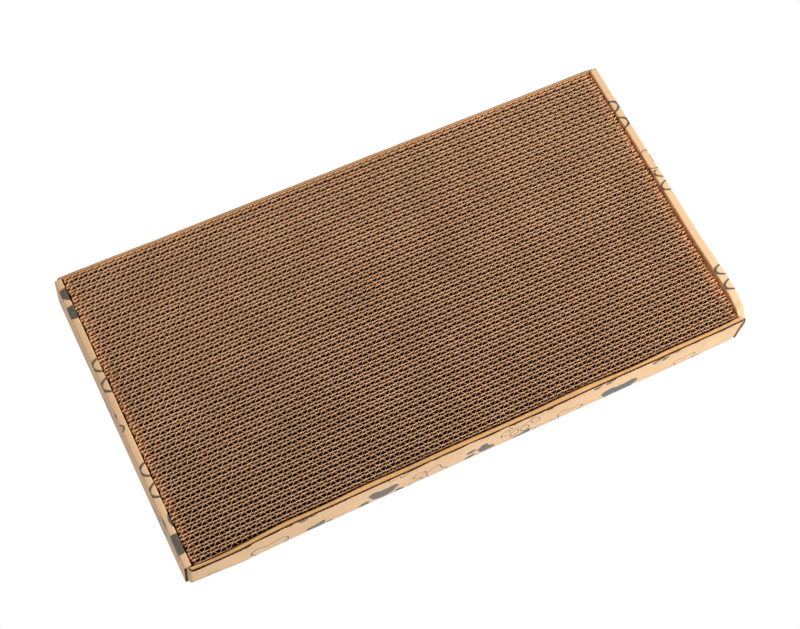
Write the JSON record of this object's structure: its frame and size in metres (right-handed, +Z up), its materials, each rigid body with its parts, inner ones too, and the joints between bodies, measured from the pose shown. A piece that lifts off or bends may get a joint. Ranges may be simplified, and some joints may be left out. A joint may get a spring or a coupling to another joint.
{
  "type": "cardboard cat scratcher",
  "caption": "Flat cat scratcher: a loose pad of corrugated card strips on edge, lying in a shallow folded card tray with roll-over end walls.",
  "frame": {"origin": "on the table, under the middle of the tray", "axes": "+X along the strips to the right end wall, +Y from the front wall to the back wall, +Z up"},
  "size_m": [0.462, 0.2414, 0.0385],
  "materials": {
    "tray_card": "matt brown kraft card with a dark grey print of paw marks on its outer face",
    "pad_board": "raw cut edges of brown corrugated board"
  },
  "bodies": {
    "tray": {"base_panel": "tray_card", "front_wall": "tray_card", "back_wall": "tray_card", "left_end_wall": "tray_card", "right_end_wall": "tray_card", "front_left_tab": "tray_card", "front_right_tab": "tray_card", "back_left_tab": "tray_card", "back_right_tab": "tray_card"},
    "pad": {"strip_01": "pad_board", "strip_02": "pad_board", "strip_03": "pad_board", "strip_04": "pad_board", "strip_05": "pad_board", "strip_06": "pad_board", "strip_07": "pad_board", "strip_08": "pad_board", "strip_09": "pad_board", "strip_10": "pad_board", "strip_11": "pad_board", "strip_12": "pad_board", "strip_13": "pad_board", "strip_14": "pad_board", "strip_15": "pad_board", "strip_16": "pad_board", "strip_17": "pad_board", "strip_18": "pad_board", "strip_19": "pad_board", "strip_20": "pad_board", "strip_21": "pad_board", "strip_22": "pad_board", "strip_23": "pad_board", "strip_24": "pad_board", "strip_25": "pad_board", "strip_26": "pad_board", "strip_27": "pad_board", "strip_28": "pad_board", "strip_29": "pad_board", "strip_30": "pad_board", "strip_31": "pad_board", "strip_32": "pad_board", "strip_33": "pad_board", "strip_34": "pad_board", "strip_35": "pad_board", "strip_36": "pad_board", "strip_37": "pad_board", "strip_38": "pad_board", "strip_39": "pad_board", "strip_40": "pad_board", "strip_41": "pad_board", "strip_42": "pad_board"}
  },
  "joints": [
    {"name": "pad_lift", "type": "slide", "parent": "tray", "child": "pad", "axis": [0, 0, 1], "range_m": [0, 0.06]}
  ]
}
